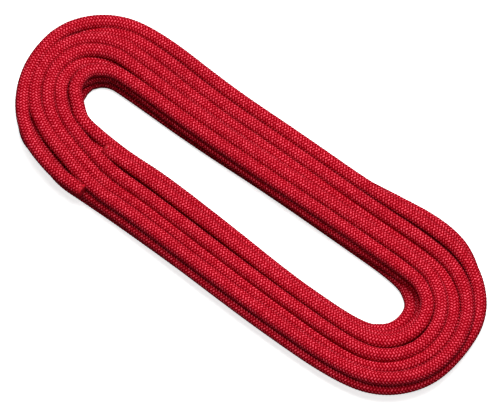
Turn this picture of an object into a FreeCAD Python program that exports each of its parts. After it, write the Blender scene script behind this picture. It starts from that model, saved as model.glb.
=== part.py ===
"""Dynamic climbing rope, wound into a long flat coil with both cut ends lying on top.

Units are millimetres, +Z is up and the coil rests on z = 0. Its long axis is X. The origin is under
the middle of the coil's bounding box.

A kernmantle rope is a braided sheath round a core of parallel strands. The wound turns are one soft
body, whose outline is that of the turns: the top layer's lanes, and the two layers below it that
nest in the gaps. The last stretch of each end of the rope is built up from its own pieces.
"""
import FreeCAD, Part
import math
import os

# The rope
ROPE_DIAMETER = 10.0
SHEATH_WALL = 1.3
CORE_RINGS = (3, 9)          # strands in the inner and the outer ring of the core
STRAND_GAP = 0.05            # play round each core strand
TIP_THICKNESS = 1.6          # sheath and core melted together by the hot cut
TIP_CHAMFER = 0.5

# The coil
LANES = 5                    # turns side by side in a layer
TURN_SQUEEZE = 0.5           # how far two turns side by side press into each other
LAYER_SQUEEZE = 0.2          # how far two layers press into each other
TURN_FACETS = 5              # flat strips that round off each turn where it shows
LOBE_SPACING = 254.0         # between the centres that the turns bend round
LEFT_RADIUS = 24.0           # bend of the innermost top turn at the left end
RIGHT_RADIUS = 29.5          # the same at the right end
OUTER_TURN_DROP_ANGLE = 45.0  # where the outermost top turn drops at the right end, from +X

# The rope's two ends, measured along the near side from the left bend
INNER_TIP_AT = 18.0
INNER_END_LENGTH = 40.0
INNER_TIP_GAP = 1.5          # from the turn that dives under the end to the end's tip
OUTER_END_LENGTH = 28.0
SEAT_CLEARANCE = 0.1         # round an end where it lies in its groove

UP = FreeCAD.Vector(0, 0, 1)

rope_radius = ROPE_DIAMETER / 2
lane_pitch = ROPE_DIAMETER - TURN_SQUEEZE
half_pitch = lane_pitch / 2
layer_rise = math.sqrt(ROPE_DIAMETER ** 2 - half_pitch ** 2) - LAYER_SQUEEZE
bottom_z = rope_radius
middle_z = bottom_z + layer_rise
top_z = middle_z + layer_rise
last_lane = LANES - 1
bore_radius = rope_radius - SHEATH_WALL

# The sides lean a little, because the two bends differ.
side_lean = math.asin((RIGHT_RADIUS - LEFT_RADIUS) / LOBE_SPACING)
side_length = LOBE_SPACING * math.cos(side_lean)
FAR_NORMAL = math.degrees(side_lean) + 90
NEAR_NORMAL = -FAR_NORMAL


def reach(bend_radius, lane_offset):
    """Distance from a bend's centre to the outside of the turn at lane_offset."""
    return bend_radius + lane_offset + rope_radius


lower_outer_offset = last_lane * lane_pitch - half_pitch
right_reach = LOBE_SPACING / 2 + reach(RIGHT_RADIUS, lower_outer_offset)
left_reach = LOBE_SPACING / 2 + reach(LEFT_RADIUS, last_lane * lane_pitch)
far_reach = reach(RIGHT_RADIUS, last_lane * lane_pitch)
near_reach = reach(RIGHT_RADIUS, lower_outer_offset)
centre_x = (left_reach - right_reach) / 2
centre_y = (near_reach - far_reach) / 2
LEFT_CENTRE = FreeCAD.Vector(centre_x - LOBE_SPACING / 2, centre_y, 0)
RIGHT_CENTRE = FreeCAD.Vector(centre_x + LOBE_SPACING / 2, centre_y, 0)


def outward(angle):
    """Unit vector in the floor plane at an angle in degrees from +X."""
    return FreeCAD.Vector(math.cos(math.radians(angle)), math.sin(math.radians(angle)), 0)


def section_centres(first, last):
    """Centres of the turns that show in a section whose top layer has the lanes first to last.

    They run from the coil's inner foot up, across the top and down to its outer foot, as pairs of
    the offset from the innermost top lane and the height.
    """
    def lower(lane):
        return lane * lane_pitch - half_pitch

    centres = [(lower(0), bottom_z)]
    centres += [(lower(lane), middle_z) for lane in range(first + 1)]
    centres += [(lane * lane_pitch, top_z) for lane in range(first, last + 1)]
    centres += [(lower(lane), middle_z) for lane in range(min(last + 1, last_lane), LANES)]
    centres += [(lower(last_lane), bottom_z)]
    return centres


def valley(start, end):
    """Point outside the coil where the circles of two neighbouring turns cross."""
    across, rise = end[0] - start[0], end[1] - start[1]
    distance = math.hypot(across, rise)
    height = math.sqrt(rope_radius ** 2 - (distance / 2) ** 2)
    return ((start[0] + end[0]) / 2 - rise / distance * height,
            (start[1] + end[1]) / 2 + across / distance * height)


def round_strips(middle, start, end):
    """Corners of the strips that follow a turn's circle from start, which is left out, to end."""
    start_angle = math.atan2(start[1] - middle[1], start[0] - middle[0])
    end_angle = math.atan2(end[1] - middle[1], end[0] - middle[0])
    sweep = (start_angle - end_angle) % (2 * math.pi)
    angles = [start_angle - sweep * step / TURN_FACETS for step in range(1, TURN_FACETS + 1)]
    return [(middle[0] + rope_radius * math.cos(angle), middle[1] + rope_radius * math.sin(angle))
            for angle in angles]


def section_face(first, last, centre, bend_radius, normal_angle):
    """The coil's section as a face in the plane through a bend's centre at normal_angle."""
    normal = outward(normal_angle)

    def place(point):
        return centre + normal * (bend_radius + point[0]) + UP * point[1]

    centres = section_centres(first, last)
    inner_foot = (centres[0][0], 0.0)
    outer_foot = (centres[-1][0], 0.0)
    joins = [inner_foot]
    joins += [valley(a, b) for a, b in zip(centres, centres[1:])]
    joins += [outer_foot]
    outline = [inner_foot]
    for middle, start, end in zip(centres, joins, joins[1:]):
        outline += round_strips(middle, start, end)
    return Part.Face(Part.makePolygon([place(point) for point in outline + [inner_foot]]))


def bend(first, last, centre, bend_radius, start_angle, end_angle):
    """A stretch of the coil round one of the two bends."""
    face = section_face(first, last, centre, bend_radius, start_angle)
    return face.revolve(centre, UP, end_angle - start_angle)


def near_side_point(distance, lane_offset, height):
    """Point on the near side, at a distance from the left bend along the turns."""
    normal = outward(NEAR_NORMAL)
    along = UP.cross(normal)
    return LEFT_CENTRE + normal * (LEFT_RADIUS + lane_offset) + along * distance + UP * height


def near_side(first, last, start, end):
    """A straight stretch of the near side, between two distances from the left bend."""
    along = UP.cross(outward(NEAR_NORMAL))
    face = section_face(first, last, LEFT_CENTRE, LEFT_RADIUS, NEAR_NORMAL)
    face.translate(along * start)
    return face.extrude(along * (end - start))


def far_side(first, last):
    """The straight far side, from the right bend to the left one."""
    face = section_face(first, last, RIGHT_CENTRE, RIGHT_RADIUS, FAR_NORMAL)
    return face.extrude(UP.cross(outward(FAR_NORMAL)) * side_length)


def diving_turn(point, heading):
    """Rounded end of a turn that drops between its neighbours."""
    ball = Part.makeSphere(rope_radius, point)
    half_space = Part.makeBox(ROPE_DIAMETER, 2 * ROPE_DIAMETER, 2 * ROPE_DIAMETER,
                              FreeCAD.Vector(0, -ROPE_DIAMETER, -ROPE_DIAMETER))
    half_space.Placement = FreeCAD.Placement(
        point, FreeCAD.Rotation(FreeCAD.Vector(1, 0, 0), heading))
    return ball.common(half_space)


def make_rope_coil():
    """The wound turns: four stretches of lanes, the dives, and grooves for the two ends."""
    along_near = UP.cross(outward(NEAR_NORMAL))
    dive_at = INNER_TIP_AT - INNER_TIP_GAP - rope_radius
    inner_end_root = INNER_TIP_AT + INNER_END_LENGTH
    second_last = last_lane - 1
    drop_normal = outward(OUTER_TURN_DROP_ANGLE)
    drop_point = RIGHT_CENTRE + drop_normal * (RIGHT_RADIUS + last_lane * lane_pitch) + UP * top_z
    pieces = [
        bend(0, last_lane, LEFT_CENTRE, LEFT_RADIUS, FAR_NORMAL, 360 + NEAR_NORMAL),
        near_side(0, second_last, 0, dive_at),
        near_side(1, second_last, dive_at, inner_end_root),
        near_side(0, second_last, inner_end_root, side_length),
        bend(0, second_last, RIGHT_CENTRE, RIGHT_RADIUS, NEAR_NORMAL, OUTER_TURN_DROP_ANGLE),
        bend(0, last_lane, RIGHT_CENTRE, RIGHT_RADIUS, OUTER_TURN_DROP_ANGLE, FAR_NORMAL),
        far_side(0, last_lane),
        diving_turn(near_side_point(dive_at, 0, top_z), along_near),
        diving_turn(drop_point, drop_normal.cross(UP)),
    ]
    grooves = [
        Part.makeCylinder(rope_radius + SEAT_CLEARANCE, INNER_END_LENGTH + INNER_TIP_GAP / 2,
                          near_side_point(inner_end_root, 0, top_z), along_near * -1),
        Part.makeCylinder(rope_radius + SEAT_CLEARANCE, OUTER_END_LENGTH + INNER_TIP_GAP / 2,
                          near_side_point(0, last_lane * lane_pitch, top_z), along_near),
    ]
    coil = pieces[0].multiFuse(pieces[1:]).removeSplitter()
    for groove in grooves:
        coil = coil.cut(groove)
    return coil


def strand_radius():
    """Radius at which the inner ring of strands, the outer ring and their gaps fill the bore."""
    inner_ring = 1 / math.sin(math.pi / CORE_RINGS[0])
    return (bore_radius - 3 * STRAND_GAP) / (inner_ring + 3)


def make_core_strands(root, heading, length):
    """The core's strands, which lie side by side along the rope."""
    radius = strand_radius()
    rotation = FreeCAD.Rotation(FreeCAD.Vector(1, 0, 0), heading)
    inner_ring_radius = (radius + STRAND_GAP / 2) / math.sin(math.pi / CORE_RINGS[0])
    outer_ring_radius = bore_radius - STRAND_GAP - radius
    strands = []
    for count, ring_radius in zip(CORE_RINGS, (inner_ring_radius, outer_ring_radius)):
        for index in range(count):
            angle = 2 * math.pi * index / count
            across = FreeCAD.Vector(0, math.cos(angle), math.sin(angle)) * ring_radius
            strands.append(Part.makeCylinder(
                radius, length, root + rotation.multVec(across), heading))
    return strands


def make_rope_end(name, root, heading, length):
    """One end of the rope, from the coil's face at root to the tip: sheath, core and melted tip."""
    built_length = length - TIP_THICKNESS
    sheath = Part.makeCylinder(rope_radius, built_length, root, heading).cut(
        Part.makeCylinder(bore_radius, built_length, root, heading))
    tip = Part.makeCylinder(rope_radius, TIP_THICKNESS, root + heading * built_length, heading)
    tip_face = root + heading * length
    rim = [edge for edge in tip.Edges
           if isinstance(edge.Curve, Part.Circle) and edge.Curve.Center.isEqual(tip_face, 0.001)]
    nodes = {name + "_sheath": sheath,
             name + "_melted_tip": tip.makeChamfer(TIP_CHAMFER, rim)}
    for index, strand in enumerate(make_core_strands(root, heading, built_length), start=1):
        nodes["%s_core_strand_%02d" % (name, index)] = strand
    return nodes


def make_nodes():
    """Every piece of the rope, by the name of its node."""
    along_near = UP.cross(outward(NEAR_NORMAL))
    nodes = {"rope_coil": make_rope_coil()}
    nodes.update(make_rope_end(
        "inner_end", near_side_point(INNER_TIP_AT + INNER_END_LENGTH, 0, top_z),
        along_near * -1, INNER_END_LENGTH))
    nodes.update(make_rope_end(
        "outer_end", near_side_point(0, last_lane * lane_pitch, top_z),
        along_near, OUTER_END_LENGTH))
    return nodes


os.makedirs("parts", exist_ok=True)
for node_name, shape in make_nodes().items():
    print("%-28s %-8s valid=%s solids=%d volume=%.1f" % (
        node_name, shape.ShapeType, shape.isValid(), len(shape.Solids), shape.Volume))
    shape.exportStep("parts/" + node_name + ".step")
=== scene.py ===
"""Dynamic climbing rope, dressed: one braided rope wound on its own route, and its two melted ends.

Every length is in metres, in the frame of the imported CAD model. The route is worked out in rope
diameters from the coil's long axis and from the centres of its two bends.
"""
import math
import random

import bpy
import numpy as np
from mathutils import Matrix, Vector


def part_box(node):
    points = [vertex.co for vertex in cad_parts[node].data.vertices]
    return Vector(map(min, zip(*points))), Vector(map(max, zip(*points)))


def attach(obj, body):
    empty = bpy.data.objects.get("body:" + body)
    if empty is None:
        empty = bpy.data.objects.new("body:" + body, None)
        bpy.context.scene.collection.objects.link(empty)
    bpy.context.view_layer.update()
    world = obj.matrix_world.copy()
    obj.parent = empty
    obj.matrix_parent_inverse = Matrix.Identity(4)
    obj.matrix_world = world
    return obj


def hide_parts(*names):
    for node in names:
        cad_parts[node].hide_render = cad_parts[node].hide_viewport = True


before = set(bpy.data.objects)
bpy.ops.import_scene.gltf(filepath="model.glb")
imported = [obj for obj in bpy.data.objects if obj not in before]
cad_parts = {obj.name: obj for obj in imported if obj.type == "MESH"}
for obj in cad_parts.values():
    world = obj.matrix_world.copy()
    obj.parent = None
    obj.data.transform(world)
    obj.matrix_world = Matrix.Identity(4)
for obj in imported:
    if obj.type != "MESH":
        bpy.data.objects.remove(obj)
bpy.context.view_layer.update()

# The rope
DIAMETER = 0.010
RADIUS = DIAMETER / 2
COLUMNS = 14                  # columns of picks round the sheath
PICK = 0.0023                 # length of one pick along the rope
PICK_RELIEF = 0.00018         # how far a pick's crown stands out above its ends
PICK_SLANT = 0.45             # how far a pick leans along the rope across its column, in picks

# The melted ends
CAP_LENGTH = 0.0016           # sheath and core melted together at a cut end
CAP_SKIRT = 0.0008            # how far the melted end reaches into the sheath behind it
CAP_SIDES = 40
LUMP_SWELL = 0.012            # how far a lump swells the rim, as a share of the radius
LUMP_DEPTH = 0.00010          # how deep a lump goes on the face
LUMP_WAVES = ((2, 1.0), (3, 1.0), (5, 0.6), (9, 0.4))       # waves round the end, and their sizes
LUMP_SEED = 5

# Each ring of a melted end: its depth behind the tip, and its radius as a share of the rope's
CAP_PROFILE = (
    (CAP_LENGTH + CAP_SKIRT, 0.985), (CAP_LENGTH, 1.01), (0.0011, 1.02), (0.0006, 0.99),
    (0.0003, 0.93), (0.0001, 0.84), (0.0, 0.68), (0.0001, 0.45), (0.0002, 0.22), (0.0002, 0.02),
)

# The mesh: half picks between its rings, on the turns that show and on the others
SHOWN_RING_STEP = 1
HIDDEN_RING_STEP = 6
LINE_STEPS = 24               # points of the route's line in each of its stretches

# The centres of the coil's two bends and its long axis. They lie this far inside the packed
# solid's box.
coil_low, coil_high = (Vector(corner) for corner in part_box("rope_coil"))
LEFT_REACH, RIGHT_REACH, NEAR_REACH = 0.067, 0.06775, 0.06775
LEFT_X = coil_low.x + LEFT_REACH
RIGHT_X = coil_high.x - RIGHT_REACH
AXIS_Y = coil_low.y + NEAR_REACH

# Heights of the three layers, in diameters
TOP_HEIGHT, MIDDLE_HEIGHT, BOTTOM_HEIGHT = 2.22, 1.36, 0.5

# A control point on a bend stands this much further out than the curve that it shapes, and one
# where a bend meets a side stands a little further out than the side.
BEND_STEP = math.radians(30)
BEND_REACH = 1 / math.cos(BEND_STEP / 2)
SHOULDER_REACH = 1.012
SHOULDERS = (-90, 90, 270)    # angles where a bend meets a side

# Stations round the coil, in the order that the rope passes them: the bend or side, the angle in
# degrees or the place along the side in millimetres, the radii of the five top lanes, how far the
# middle lane dips, and the innermost radius and the pitch of the lanes in the middle layer and in
# the bottom one. Radii, dips and pitches are in diameters.
STATIONS = (
    ("left", 150, (3.12, 4.10, 4.88, 5.80, 6.84), 0.0, (2.50, 0.90), (2.98, 0.85)),
    ("left", 180, (2.78, 3.72, 4.62, 5.52, 6.22), 0.0, (2.20, 0.88), (2.41, 0.88)),
    ("left", 210, (1.90, 3.05, 4.02, 5.02, 5.85), 0.0, (1.60, 0.90), (2.12, 0.90)),
    ("left", 240, (1.80, 2.72, 3.60, 4.45, 5.78), 0.15, (1.35, 0.93), (2.05, 0.91)),
    ("left", 270, (2.30, 2.88, 3.75, 4.64, 6.04), 0.25, (1.55, 0.97), (2.05, 0.91)),
    ("near", -95, (2.55, 3.76, 4.66, 5.58, 6.24), 0.40, (1.75, 1.02), (2.08, 0.91)),
    ("near", -63, (2.64, 3.76, 4.54, 5.54, 6.35), 0.40, (1.80, 1.02), (2.10, 0.91)),
    ("near", 0, (3.00, 4.13, 4.92, 5.91, 6.80), 0.45, (2.22, 1.01), (2.20, 0.93)),
    ("near", 63, (3.38, 4.43, 5.22, 6.17, 7.00), 0.50, (2.78, 0.95), (2.45, 0.95)),
    ("right", -90, (3.45, 4.48, 5.25, 6.15, 7.00), 0.60, (2.78, 0.94), (2.44, 0.92)),
    ("right", -60, (3.22, 4.27, 5.08, 6.07, 7.00), 0.45, (2.35, 1.02), (1.66, 1.07)),
    ("right", -30, (2.95, 4.10, 4.92, 5.97, 6.90), 0.30, (2.12, 1.03), (1.34, 1.13)),
    ("right", 0, (2.75, 3.82, 4.70, 5.66, 6.60), 0.30, (1.96, 0.98), (1.23, 1.12)),
    ("right", 30, (2.62, 3.60, 4.50, 5.48, 6.40), 0.35, (1.88, 1.05), (1.31, 1.09)),
    ("right", 60, (2.42, 3.42, 4.28, 5.17, 6.47), 0.50, (1.80, 1.10), (1.50, 1.04)),
    ("right", 90, (2.50, 3.56, 4.36, 5.12, 6.39), 0.60, (2.18, 1.09), (2.24, 0.93)),
    ("far", 63, (2.62, 3.62, 4.41, 5.11, 6.24), 0.50, (2.35, 1.10), (2.56, 0.87)),
    ("far", 0, (2.58, 3.57, 4.48, 5.32, 6.34), 0.45, (2.42, 1.10), (2.60, 0.88)),
    ("far", -63, (2.58, 3.54, 4.48, 5.36, 6.28), 0.40, (2.45, 1.08), (2.48, 0.92)),
    ("left", 90, (2.80, 3.82, 4.82, 5.70, 6.68), 0.20, (2.76, 0.84), (2.64, 0.92)),
    ("left", 120, (2.96, 4.38, 5.34, 6.05, 6.88), 0.05, (2.98, 0.82), (2.92, 0.87)),
)

# The turns from the inner end, numbered from 0. Each lists the stations where the rope takes up a
# lane: the first station, the layer and the lane, counted from the hole outwards.
TURNS = (
    ((6, "top", 0),),
    ((0, "top", 0), (4, "middle", 0)),
    ((0, "middle", 1), (4, "bottom", 0)),
    ((0, "bottom", 0), (4, "bottom", 1)),
    ((0, "bottom", 1), (4, "bottom", 2)),
    ((0, "bottom", 2), (4, "bottom", 3)),
    ((0, "bottom", 3), (4, "bottom", 4)),
    ((0, "bottom", 4), (4, "middle", 3)),
    ((0, "middle", 3), (4, "middle", 2)),
    ((0, "middle", 2), (4, "middle", 1)),
    ((0, "top", 1),),
    ((0, "top", 2),),
    ((0, "top", 3),),
    ((0, "middle", 4), (14, "top", 4)),
    ((0, "top", 4),),
)
FIRST_STATION, LAST_STATION = 6, 4

# Places where a turn leaves its lane, by turn and station: the radius and the height there, and
# round the hole's right end how far the point moves along the coil. All are in diameters.
SPECIAL = {
    # Turn 1 dives under the inner end, and turn 2 draws in below it.
    (1, 1): (2.62, 2.22), (1, 2): (1.82, 2.20), (1, 3): (1.74, 2.10), (1, 4): (1.82, 2.02),
    (1, 5): (1.88, 1.25), (2, 0): (3.00, 1.25), (2, 1): (2.95, 1.32),
    # Turn 1 lies far back under the top one at the hole's right end.
    (1, 10): (2.42, 1.15), (1, 11): (2.22, 0.95), (1, 12): (2.17, 0.88), (1, 13): (2.30, 0.92),
    (1, 14): (2.40, 0.98), (1, 15): (2.48, 1.14),
    # Turn 2, the lowest there, rounds the hole's right end.
    (2, 9): (2.44, 0.50, -0.75), (2, 10): (1.66, 0.50, -0.12), (2, 11): (1.34, 0.50, -0.03),
    (2, 13): (1.50, 0.50, -0.12), (2, 14): (1.74, 0.50, -0.15), (2, 15): (2.36, 0.50, -0.76),
    (2, 16): (2.50, 0.50),
    # Turn 9 sinks beside the inner end. At the left bend it rises between two turns of the top
    # layer, as turn 10, and turns 7 and 8 give way below it.
    (9, 4): (2.50, 1.05), (9, 19): (3.40, 1.36), (9, 20): (3.72, 1.45),
    (10, 0): (4.10, 1.72), (10, 1): (3.72, 2.05),
    (8, 20): (4.55, 1.15), (7, 20): (5.40, 1.18),
    # Turn 12 sinks out of the top layer from the far side to the left bend,
    (12, 17): (5.31, 2.08), (12, 18): (5.30, 2.10), (12, 19): (5.75, 2.12), (12, 20): (6.10, 1.78),
    (13, 0): (6.26, 1.46),
    # and turn 13 rises into it round the right bend.
    (13, 13): (6.33, 1.45), (13, 14): (6.35, 1.78), (13, 15): (6.38, 1.98), (13, 16): (6.18, 2.04),
    (13, 17): (6.30, 2.10), (13, 18): (6.31, 2.10), (13, 19): (6.80, 1.98), (13, 20): (6.96, 2.05),
    # Turn 7 swings out at the right bend, low down.
    (7, 13): (5.60, 1.20), (7, 14): (6.45, 0.92), (7, 15): (7.40, 0.90), (7, 16): (6.75, 0.88),
    (7, 17): (5.80, 1.25), (7, 18): (5.72, 1.30),
}

# The two ends: place along the near side in millimetres, and radius in diameters
INNER_END = ((-107, 2.55), (-92, 2.58))
OUTER_END = ((-112, 6.18), (-99, 6.22))

# Turns that show from above or from the side get a ring of the mesh at every half pick.
SHOWN_TURNS = (0, 1, 2, 6, 7, 10, 11, 12, 13, 14)

# The braid's look: linear colours from the gaps between picks to their crowns, each with the
# height at which it is reached. The dark gap colour is painted shade between the picks, and the
# pale crown colour is a painted highlight on them.
GAP_SHADE_COLOUR = (0.10, (0.24, 0.0001, 0.0030))
YARN_COLOUR = (0.66, (0.54, 0.0010, 0.015))
CROWN_HIGHLIGHT_COLOUR = (0.96, (0.84, 0.112, 0.165))
RIDGE_POWER, CROWN_POWER = 1.8, 0.3     # how narrow a pick is along the rope, and across
LEAST_FULLNESS, FULLNESS_SPREAD = 0.84, 0.18            # a pick's own height, by chance
FILAMENTS_ALONG, FILAMENTS_AROUND = 9.0, 1.2            # grain of the noise, in a pick and a column
FILAMENT_RELIEF = 0.22                                  # as a share of a pick's height
LEAST_TONE, TONE_SPREAD, WEAR_TONE = 0.77, 0.20, 0.30   # a pick's own brightness, and wear's share
WEAR_SCALE = 22.0
GAP_ROUGHNESS, CROWN_POLISH, WEAR_ROUGHNESS = 0.70, 0.30, 0.10
BRAID_BUMP = 0.00036                                    # height of the relief
BRAID_SHINE = 0.03

# The melted ends' look: each colour with the value of the noise at which it is reached
SCORCH_COLOUR = (0.30, (0.16, 0.001, 0.004))
MELT_COLOUR = (0.62, (0.50, 0.008, 0.02))
BLISTER_SCALE = 500.0
BLISTER_BUMP, BLISTER_STRENGTH = 0.0003, 0.6
LEAST_MELT_ROUGHNESS, MELT_ROUGHNESS_SPREAD = 0.28, 0.30
MELT_SHINE = 0.12

# The sheath's own UV map lays the rope out in rows, as wide as the map. Turns that don't show
# take less room on it.
MAP_ROW_LENGTH = 0.59         # length of rope in a row
ROW_GAP = 0.003
HIDDEN_MAP_SCALE = 0.5


def place(side, where, radius, height, along=0):
    """Point at a station, from a radius, a height and a shift along the coil in diameters."""
    out = radius * DIAMETER
    up = height * DIAMETER
    shift = along * DIAMETER
    if side in ("left", "right"):
        centre_x = LEFT_X if side == "left" else RIGHT_X
        angle = math.radians(where)
        out *= SHOULDER_REACH if where in SHOULDERS else BEND_REACH
        return (centre_x + shift + out * math.cos(angle), AXIS_Y + out * math.sin(angle), up)
    return (where / 1000 + shift, AXIS_Y + (out if side == "far" else -out), up)


def lane_place(station, layer, lane):
    """Radius and height of a lane at a station."""
    top, dip, middle, bottom = station[2:]
    if layer == "top":
        return top[lane], TOP_HEIGHT - (dip if lane == 2 else 0)
    if layer == "middle":
        return middle[0] + lane * middle[1], MIDDLE_HEIGHT - (dip / 2 if lane == 2 else 0)
    return bottom[0] + lane * bottom[1], BOTTOM_HEIGHT


def route():
    """Control points of the rope's line, and the turn that each belongs to."""
    points = [place("near", x, radius, TOP_HEIGHT) for x, radius in INNER_END]
    turns = [0] * len(points)
    last_turn = len(TURNS) - 1
    for turn, stages in enumerate(TURNS):
        first = FIRST_STATION if turn == 0 else 0
        last = LAST_STATION if turn == last_turn else len(STATIONS) - 1
        for index in range(first, last + 1):
            station = STATIONS[index]
            layer, lane = [stage[1:] for stage in stages if stage[0] <= index][-1]
            spot = SPECIAL.get((turn, index)) or lane_place(station, layer, lane)
            points.append(place(station[0], station[1], *spot))
            turns.append(turn)
    points += [place("near", x, radius, TOP_HEIGHT) for x, radius in OUTER_END]
    turns += [last_turn] * len(OUTER_END)
    return points, turns


def spline_line(points):
    """Points along the smooth NURBS line of a route."""
    curve = bpy.data.curves.new("rope_route", "CURVE")
    curve.dimensions = "3D"
    curve.resolution_u = LINE_STEPS
    spline = curve.splines.new("NURBS")
    spline.points.add(len(points) - 1)
    for point, co in zip(spline.points, points):
        point.co = (*co, 1)
    spline.order_u = 3
    spline.use_endpoint_u = True
    carrier = bpy.data.objects.new("rope_route", curve)
    mesh = bpy.data.meshes.new_from_object(carrier)
    line = np.empty(len(mesh.vertices) * 3)
    mesh.vertices.foreach_get("co", line)
    bpy.data.objects.remove(carrier)
    bpy.data.meshes.remove(mesh)
    return line.reshape(-1, 3)


def distances(line):
    """Length along a line up to each of its points."""
    return np.concatenate([[0], np.cumsum(np.linalg.norm(np.diff(line, axis=0), axis=1))])


def ring_steps(along, turns):
    """Half picks from the start to each ring, and whether the ring lies on a turn that shows.

    The line has two stretches fewer than control points.
    """
    half_pick = PICK / 2
    line_steps_per_point = (len(along) - 1) / (len(turns) - 2)
    first = math.ceil(CAP_LENGTH / half_pick)
    last = math.floor((along[-1] - CAP_LENGTH) / half_pick)
    steps, shown = [], []
    step = first
    while step <= last:
        index = int(np.searchsorted(along, step * half_pick) / line_steps_per_point) + 1
        fine = turns[min(index, len(turns) - 1)] in SHOWN_TURNS
        steps.append(step)
        shown.append(fine)
        step += SHOWN_RING_STEP if fine else HIDDEN_RING_STEP
    return np.array(steps), np.array(shown)


def frames(centres):
    """Two directions across the line at each centre, turned as little as possible."""
    tangents = np.gradient(centres, axis=0)
    tangents /= np.linalg.norm(tangents, axis=1)[:, None]
    across = np.cross(tangents[0], (0, 0, 1))
    across /= np.linalg.norm(across)
    firsts = [across]
    for tangent in tangents[1:]:
        across = across - tangent * across.dot(tangent)
        across = across / np.linalg.norm(across)
        firsts.append(across)
    firsts = np.array(firsts)
    return firsts, np.cross(tangents, firsts)


def sheath_rows(along, shown):
    """Place of each ring interval on the sheath's UV map: start, end and foot, and row height."""
    girth = 2 * math.pi * RADIUS
    rows = []
    start, foot, row_height = 0.0, 0.0, 0.0
    for length, fine in zip(np.diff(along), shown):
        scale = 1.0 if fine else HIDDEN_MAP_SCALE
        if start == 0.0 or scale * girth != row_height or start + length * scale > MAP_ROW_LENGTH:
            foot += row_height + (ROW_GAP if row_height else 0)
            start, row_height = 0.0, scale * girth
        rows.append((start, start + length * scale, foot, row_height))
        start += length * scale
    return np.array(rows) / MAP_ROW_LENGTH


def add_uv_maps(mesh, picks, along, shown):
    """The braid's map, in picks along and columns round, and the map of rows for baking."""
    columns = np.arange(COLUMNS)

    def fill(layer, starts, ends, lows, highs):
        u = np.stack([starts, ends, ends, starts], axis=-1)
        v = np.stack([lows, lows, highs, highs], axis=-1)
        layer.data.foreach_set("uv", np.stack([u, v], axis=-1).ravel())

    shape = (len(picks) - 1, COLUMNS)
    fill(mesh.uv_layers.new(name="braid"),
         np.broadcast_to(picks[:-1, None], shape), np.broadcast_to(picks[1:, None], shape),
         np.broadcast_to(columns, shape), np.broadcast_to(columns + 1, shape))
    rows = sheath_rows(along, shown)
    fill(mesh.uv_layers.new(name="OFBake"),
         np.broadcast_to(rows[:, :1], shape), np.broadcast_to(rows[:, 1:2], shape),
         rows[:, 2:3] + rows[:, 3:] * columns / COLUMNS,
         rows[:, 2:3] + rows[:, 3:] * (columns + 1) / COLUMNS)


def tube_quads(rings, sides):
    """Corner numbers of the quads of a tube whose vertices run ring by ring."""
    ring = np.arange(rings - 1)[:, None]
    side = np.arange(sides)[None]
    after = (side + 1) % sides
    corners = [ring * sides + side, (ring + 1) * sides + side,
               (ring + 1) * sides + after, ring * sides + after]
    return np.stack(corners, axis=-1).reshape(-1, 4)


def mesh_object(name, vertices, quads):
    """Smooth-shaded object from vertices and quads."""
    mesh = bpy.data.meshes.new(name)
    mesh.vertices.add(len(vertices))
    mesh.vertices.foreach_set("co", vertices.ravel())
    mesh.loops.add(quads.size)
    mesh.loops.foreach_set("vertex_index", quads.ravel().astype(np.int32))
    mesh.polygons.add(len(quads))
    mesh.polygons.foreach_set("loop_start", (np.arange(len(quads)) * 4).astype(np.int32))
    mesh.polygons.foreach_set("use_smooth", np.ones(len(quads), dtype=bool))
    made = bpy.data.objects.new(name, mesh)
    bpy.context.collection.objects.link(made)
    return made


def make_rope():
    """The sheath's tube along the whole route, with each pick of the braid standing out of it."""
    points, turns = route()
    line = spline_line(points)
    line_along = distances(line)
    steps, shown = ring_steps(line_along, turns)
    along = steps * PICK / 2
    centres = np.stack([np.interp(along, line_along, line[:, axis]) for axis in range(3)], axis=1)
    first, second = frames(centres)
    columns = np.arange(COLUMNS)
    angles = 2 * math.pi * columns / COLUMNS
    stands_out = (steps[:, None] + columns[None]) % 2 == 0
    relief = np.where(shown[:, None], np.where(stands_out, 0.5, -0.5), 0.0)
    direction = (first[:, None] * np.cos(angles)[None, :, None]
                 + second[:, None] * np.sin(angles)[None, :, None])
    radius = RADIUS + PICK_RELIEF * relief
    vertices = (centres[:, None] + direction * radius[..., None]).reshape(-1, 3)
    rope = mesh_object("rope", vertices, tube_quads(len(steps), COLUMNS))
    add_uv_maps(rope.data, steps / 2, along, shown)
    rope.data.update(calc_edges=True)
    rope.data.validate()
    return rope, line, centres, line_along[-1]


def lumpiness(angle, phases):
    """Sum of the waves round a melted end."""
    return sum(size * math.sin(waves * angle + phase)
               for (waves, size), phase in zip(LUMP_WAVES, phases))


def cap_quads(rings):
    """Corner numbers of a cap's quads: its rings, and a lid across the last one."""
    first = (rings - 1) * CAP_SIDES
    half = np.arange(CAP_SIDES // 2 - 1)
    lid = np.stack([half + 1, half, CAP_SIDES - 1 - half, CAP_SIDES - 2 - half], axis=-1)
    return np.concatenate([tube_quads(rings, CAP_SIDES), first + lid])


def make_cap(name, tip, outward, lumps):
    """The melted end of the rope: a lumpy disc with a rounded, slightly flared rim."""
    outward = Vector(outward).normalized()
    across = outward.cross(Vector((0, 0, 1))).normalized()
    over = outward.cross(across)
    phases = [lumps.uniform(0, 2 * math.pi) for _ in LUMP_WAVES]
    vertices = []
    for depth, share in CAP_PROFILE:
        on_face = max(0.0, 1 - depth / CAP_LENGTH)
        for side in range(CAP_SIDES):
            angle = 2 * math.pi * side / CAP_SIDES
            lump = lumpiness(angle, phases)
            radius = RADIUS * share * (1 + LUMP_SWELL * lump * on_face)
            sink = max(depth + LUMP_DEPTH * lump * on_face * share, 0)
            direction = across * math.cos(angle) + over * math.sin(angle)
            vertices.append(tuple(Vector(tip) - outward * sink + direction * radius))
    cap = mesh_object(name, np.array(vertices), cap_quads(len(CAP_PROFILE)))
    cap.data.update(calc_edges=True)
    cap.data.validate()
    return cap


def node(tree, kind, **settings):
    """New shader node with the given settings."""
    made = tree.nodes.new(kind)
    for name, value in settings.items():
        setattr(made, name, value)
    return made


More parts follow.
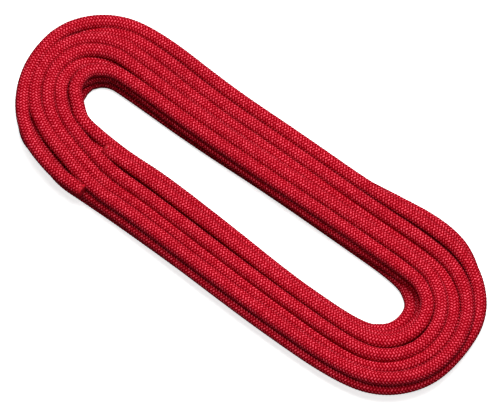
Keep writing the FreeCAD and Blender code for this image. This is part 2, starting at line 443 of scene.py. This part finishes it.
def math_node(tree, operation, *inputs):
    """Output of a math node on numbers and other nodes' outputs."""
    made = node(tree, "ShaderNodeMath", operation=operation)
    for index, value in enumerate(inputs):
        if isinstance(value, (int, float)):
            made.inputs[index].default_value = value
        else:
            tree.links.new(value, made.inputs[index])
    return made.outputs[0]


def new_material(name):
    """Material with its node tree and its shader."""
    material = bpy.data.materials.new(name)
    material.use_nodes = True
    return material, material.node_tree, material.node_tree.nodes["Principled BSDF"]


def ramp_node(tree, factor, stops):
    """Colour ramp through the given positions and linear colours."""
    ramp = node(tree, "ShaderNodeValToRGB")
    elements = ramp.color_ramp.elements
    while len(elements) < len(stops):
        elements.new(0.5)
    for element, (position, colour) in zip(elements, stops):
        element.position = position
        element.color = (*colour, 1)
    tree.links.new(factor, ramp.inputs[0])
    return ramp.outputs[0]


def noise_node(tree, vector, scale, detail):
    """Value of a noise texture at a place."""
    noise = node(tree, "ShaderNodeTexNoise")
    noise.inputs["Scale"].default_value = scale
    noise.inputs["Detail"].default_value = detail
    tree.links.new(vector, noise.inputs["Vector"])
    return noise.outputs[0]


def scaled(tree, value, factor, offset):
    """A value times a factor, plus an offset."""
    return math_node(tree, "MULTIPLY_ADD", value, factor, offset)


def bump_node(tree, height, strength, distance):
    """Normal of a surface with a relief."""
    bump = node(tree, "ShaderNodeBump")
    bump.inputs["Strength"].default_value = strength
    bump.inputs["Distance"].default_value = distance
    tree.links.new(height, bump.inputs["Height"])
    return bump.outputs[0]


def pick_places(tree):
    """Where a point lies on the braid.

    That is its place along the rope in picks and round it in columns, its column, and how far
    across that column it is. Each column's picks lean the other way from its neighbours' and
    start half a pick away from theirs.
    """
    uv = node(tree, "ShaderNodeUVMap", uv_map="braid")
    split = node(tree, "ShaderNodeSeparateXYZ")
    tree.links.new(uv.outputs[0], split.inputs[0])
    along, around = split.outputs[0], math_node(tree, "ADD", split.outputs[1], 0.5)
    column = math_node(tree, "FLOOR", around)
    across = math_node(tree, "SUBTRACT", around, column)
    odd = math_node(tree, "MODULO", column, 2.0)
    side = scaled(tree, odd, 2.0, -1.0)
    lean = scaled(tree, across, PICK_SLANT, -PICK_SLANT / 2)
    phase = math_node(tree, "MULTIPLY_ADD", side, lean, along)
    phase = math_node(tree, "ADD", phase, scaled(tree, odd, -0.5, 0.5))
    return phase, around, column, across


def pick_chance(tree, pick, column):
    """A number by chance, from 0 to 1, for each pick of each column."""
    which = node(tree, "ShaderNodeCombineXYZ")
    tree.links.new(pick, which.inputs[0])
    tree.links.new(math_node(tree, "MODULO", column, float(COLUMNS)), which.inputs[1])
    chance = node(tree, "ShaderNodeTexWhiteNoise", noise_dimensions="3D")
    tree.links.new(which.outputs[0], chance.inputs[0])
    return chance.outputs[0]


def braid_relief(tree):
    """Height of the braid at a point, about 0 in a gap and 1 on a crown, and its pick's chance."""
    phase, around, column, across = pick_places(tree)
    pick = math_node(tree, "FLOOR", phase)
    inside = math_node(tree, "SUBTRACT", phase, pick)
    chance = pick_chance(tree, pick, column)
    ridge = math_node(tree, "SINE", math_node(tree, "MULTIPLY", inside, math.pi))
    crown = math_node(tree, "SINE", math_node(tree, "MULTIPLY", across, math.pi))
    height = math_node(tree, "MULTIPLY", math_node(tree, "POWER", ridge, RIDGE_POWER),
                       math_node(tree, "POWER", crown, CROWN_POWER))
    fullness = scaled(tree, chance, FULLNESS_SPREAD, LEAST_FULLNESS)
    height = math_node(tree, "MULTIPLY", height, fullness)

    # The filaments run across the rope and lean as their pick does.
    strands = node(tree, "ShaderNodeCombineXYZ")
    tree.links.new(math_node(tree, "MULTIPLY", phase, FILAMENTS_ALONG), strands.inputs[0])
    tree.links.new(math_node(tree, "MULTIPLY", around, FILAMENTS_AROUND), strands.inputs[1])
    filaments = noise_node(tree, strands.outputs[0], scale=1.0, detail=2.0)
    centred = scaled(tree, filaments, 1.0, -0.5)
    return math_node(tree, "MULTIPLY_ADD", centred, FILAMENT_RELIEF, height), chance


def sheath_material():
    """Red braid of picks, each with its filaments, its own tone, painted shade in the gap around it
    and a painted highlight on its crown.
    """
    material, tree, shader = new_material("red_braided_sheath")
    height, chance = braid_relief(tree)
    # By height, the ramp paints shade into the gaps between picks and a highlight onto their
    # crowns.
    colour = ramp_node(tree, height, (GAP_SHADE_COLOUR, YARN_COLOUR, CROWN_HIGHLIGHT_COLOUR))

    # Each pick's own tone, and slow changes from handling
    place_on = node(tree, "ShaderNodeTexCoord")
    wear = noise_node(tree, place_on.outputs["Object"], WEAR_SCALE, detail=2.0)
    hue = node(tree, "ShaderNodeHueSaturation")
    tone = math_node(tree, "ADD", scaled(tree, chance, TONE_SPREAD, LEAST_TONE),
                     scaled(tree, wear, WEAR_TONE, 0.0))
    tree.links.new(tone, hue.inputs["Value"])
    tree.links.new(colour, hue.inputs["Color"])
    tree.links.new(hue.outputs[0], shader.inputs["Base Color"])

    relief = bump_node(tree, height, strength=1.0, distance=BRAID_BUMP)
    tree.links.new(relief, shader.inputs["Normal"])
    roughness = scaled(tree, height, -CROWN_POLISH, GAP_ROUGHNESS)
    roughness = math_node(tree, "MULTIPLY_ADD", wear, WEAR_ROUGHNESS, roughness)
    tree.links.new(roughness, shader.inputs["Roughness"])
    shader.inputs["Specular IOR Level"].default_value = BRAID_SHINE
    return material


def melted_material():
    """Nylon that the hot cut has melted: smooth, with blisters and a darker scorch in places."""
    material, tree, shader = new_material("melted_red_nylon")
    place_on = node(tree, "ShaderNodeTexCoord")
    blotch = noise_node(tree, place_on.outputs["Object"], BLISTER_SCALE, detail=4.0)
    colour = ramp_node(tree, blotch, (SCORCH_COLOUR, MELT_COLOUR))
    tree.links.new(colour, shader.inputs["Base Color"])
    relief = bump_node(tree, blotch, BLISTER_STRENGTH, BLISTER_BUMP)
    tree.links.new(relief, shader.inputs["Normal"])
    roughness = scaled(tree, blotch, MELT_ROUGHNESS_SPREAD, LEAST_MELT_ROUGHNESS)
    tree.links.new(roughness, shader.inputs["Roughness"])
    shader.inputs["Specular IOR Level"].default_value = MELT_SHINE
    return material


rope, rope_line, rope_centres, rope_length = make_rope()
rope.data.materials.append(sheath_material())
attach(rope, "root")
replaced = [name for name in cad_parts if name.endswith("_sheath") or "_core_strand_" in name]
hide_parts("rope_coil", *replaced)

lumps = random.Random(LUMP_SEED)
melted = melted_material()
for end_name, tip, before in (("inner_end", rope_line[0], rope_line[1]),
                              ("outer_end", rope_line[-1], rope_line[-2])):
    cap = make_cap(end_name + "_cap", tip, tip - before, lumps)
    cap.data.materials.append(melted)
    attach(cap, "root")
    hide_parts(end_name + "_melted_tip")

# The floor: a white sheet that glows a little, so that it stays white under the lamps
FLOOR_REACH = 4.0
FLOOR_WHITE = 0.92
FLOOR_GLOW = 0.75
FLOOR_ROUGHNESS = 0.9
floor_material, _, floor_shader = new_material("white_sweep")
floor_shader.inputs["Base Color"].default_value = (FLOOR_WHITE, FLOOR_WHITE, FLOOR_WHITE, 1)
floor_shader.inputs["Emission Color"].default_value = (1, 1, 1, 1)
floor_shader.inputs["Emission Strength"].default_value = FLOOR_GLOW
floor_shader.inputs["Roughness"].default_value = FLOOR_ROUGHNESS
floor_corners = FLOOR_REACH * np.array([(-1, -1, 0), (1, -1, 0), (1, 1, 0), (-1, 1, 0)])
floor = mesh_object("floor", floor_corners, np.array([[0, 1, 2, 3]]))
floor.data.update(calc_edges=True)
floor.data.materials.append(floor_material)
floor.visible_diffuse = False     # its bounced light would fill the gaps between the turns
floor.visible_glossy = False

CAMERA_TURN = math.radians(36.6)
CAMERA_RISE = math.radians(65)
UP = Vector((0, 0, 1))
right = Vector((math.cos(CAMERA_TURN), math.sin(CAMERA_TURN), 0))
ahead = Vector((-math.sin(CAMERA_TURN), math.cos(CAMERA_TURN), 0))

# Square lamps that face the coil: name, side, watts, and in degrees how high above the floor and
# how far round. Turn 0 is behind the coil as the camera sees it, and a positive turn to the right.
LAMP_DISTANCE = 1.6
LAMPS = (
    ("key", 1.1, 37, 80, 30),
    ("right", 0.8, 2.5, 12, 90),
    ("left", 0.8, 1.2, 12, -90),
    ("front", 0.8, 4.5, 12, 180),
    ("back", 0.8, 2.5, 12, 0),
)


def area_light(name, size, power, rise, turn):
    """Square lamp of the table above."""
    data = bpy.data.lights.new(name, "AREA")
    data.size = size
    data.energy = power
    light = bpy.data.objects.new(name, data)
    bpy.context.collection.objects.link(light)
    angle, lift = math.radians(turn), math.radians(rise)
    flat = ahead * math.cos(angle) + right * math.sin(angle)
    offset = flat * math.cos(lift) + UP * math.sin(lift)
    light.location = offset * LAMP_DISTANCE
    light.rotation_euler = offset.to_track_quat("Z", "Y").to_euler()


for lamp in LAMPS:
    area_light(*lamp)

ROOM_LIGHT = 0.02
world = bpy.data.worlds.new("studio")
bpy.context.scene.world = world
world.use_nodes = True
background = world.node_tree.nodes["Background"]
background.inputs["Color"].default_value = (1, 1, 1, 1)
background.inputs["Strength"].default_value = ROOM_LIGHT
bpy.context.scene.view_settings.view_transform = "Standard"

# The camera: a long lens that looks at a place on the floor near the coil's middle
VIEW_WIDTH = 0.355            # across the picture, at the coil
DISTANCE = 5.0
SENSOR = 36                   # in millimetres, as is the lens
FAR_CLIP = 20
AIM_POINT = Vector((-0.0036, 0.0064, 0))
AIM_LEFT, AIM_BELOW = 0.00107, 0.00036      # from that point, as the camera sees it
camera_data = bpy.data.cameras.new("camera")
camera_data.sensor_width = SENSOR
camera_data.lens = SENSOR * DISTANCE / VIEW_WIDTH
camera_data.clip_end = FAR_CLIP
camera = bpy.data.objects.new("camera", camera_data)
bpy.context.collection.objects.link(camera)
back = -ahead * math.cos(CAMERA_RISE) + UP * math.sin(CAMERA_RISE)
upright = ahead * math.sin(CAMERA_RISE) + UP * math.cos(CAMERA_RISE)
target = AIM_POINT - right * AIM_LEFT - upright * AIM_BELOW
camera.location = target + back * DISTANCE
camera.rotation_euler = back.to_track_quat("Z", "Y").to_euler()
bpy.context.scene.camera = camera
